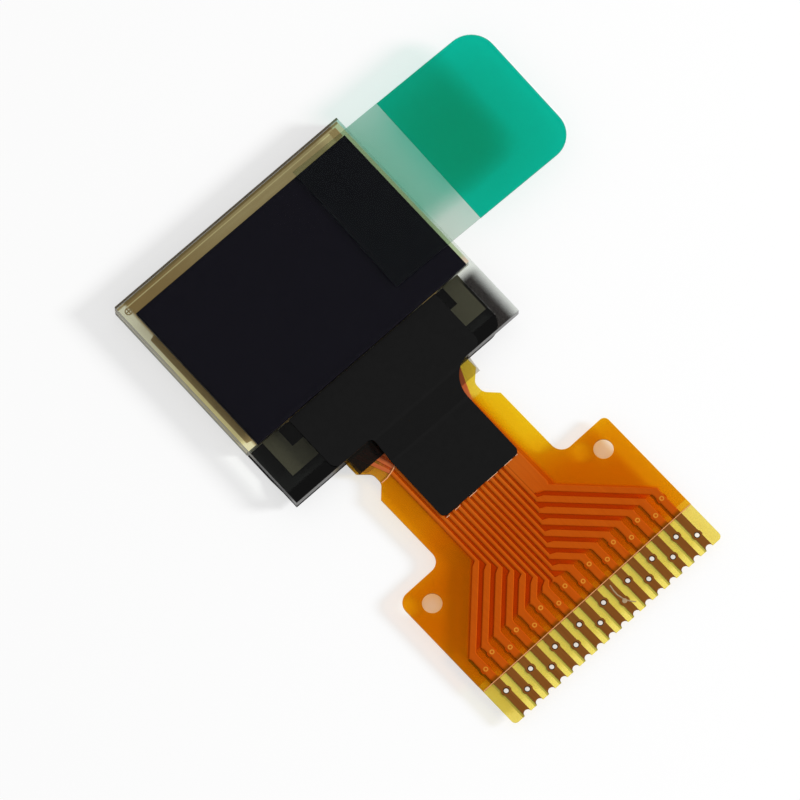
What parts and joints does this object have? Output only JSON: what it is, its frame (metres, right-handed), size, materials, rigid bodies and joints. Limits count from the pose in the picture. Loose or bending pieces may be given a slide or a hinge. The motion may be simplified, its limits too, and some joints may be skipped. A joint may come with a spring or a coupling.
{
  "type": "oled display module",
  "caption": "Small chip-on-glass display with a black window, a taped ledge, a green pull tab and a flexible amber tail that ends in staggered solder fingers.",
  "frame": {"origin": "on the back of the cap glass, under the middle of the substrate glass", "axes": "+X to the right across the glass towards the pull tab, +Y up the glass away from the tail, +Z out of the viewing side"},
  "size_m": [0.0187, 0.0235, 0.0014],
  "materials": {
    "glass": "clear, scribed and broken edges",
    "desiccant": "matt",
    "clear_electrode": "clear film",
    "organic": "clear film",
    "thin_metal": "dull mirror",
    "seal": "gold-brown, glossy",
    "polarizer": "satin black",
    "clear_film": "clear, glossy",
    "green_film": "see-through green, glossy",
    "silicon": "polished",
    "bond": "dull",
    "polyimide": "see-through amber",
    "copper": "bright copper, tarnished on the fingers",
    "coverlay": "see-through amber, glossy",
    "black_tape": "satin black",
    "resin": "clear, glossy"
  },
  "bodies": {
    "root": {"cap_glass": "glass", "desiccant_sheet": "desiccant", "substrate_glass": "glass", "anode_columns": "clear_electrode", "organic_layer": "organic", "cathode_rows": "thin_metal", "row_tracks": "thin_metal", "seal_frame": "seal", "ledge_marks": "thin_metal", "corner_marks": "thin_metal", "polarizer": "polarizer", "protective_film": "clear_film", "tab_tape": "clear_film", "tab_grip": "green_film", "driver_chip": "silicon", "chip_bond": "bond", "ledge_tracks": "thin_metal", "flex_base": "polyimide", "conductor_01": "copper", "conductor_02": "copper", "conductor_03": "copper", "conductor_04": "copper", "conductor_05": "copper", "conductor_06": "copper", "conductor_07": "copper", "conductor_08": "copper", "conductor_09": "copper", "conductor_10": "copper", "conductor_11": "copper", "conductor_12": "copper", "conductor_13": "copper", "conductor_14": "copper", "conductor_15": "copper", "conductor_16": "copper", "front_coverlay": "coverlay", "rear_coverlay": "coverlay", "flex_bond": "bond", "front_tape": "black_tape", "rear_tape": "black_tape", "glue_bead": "resin"}
  },
  "joints": []
}
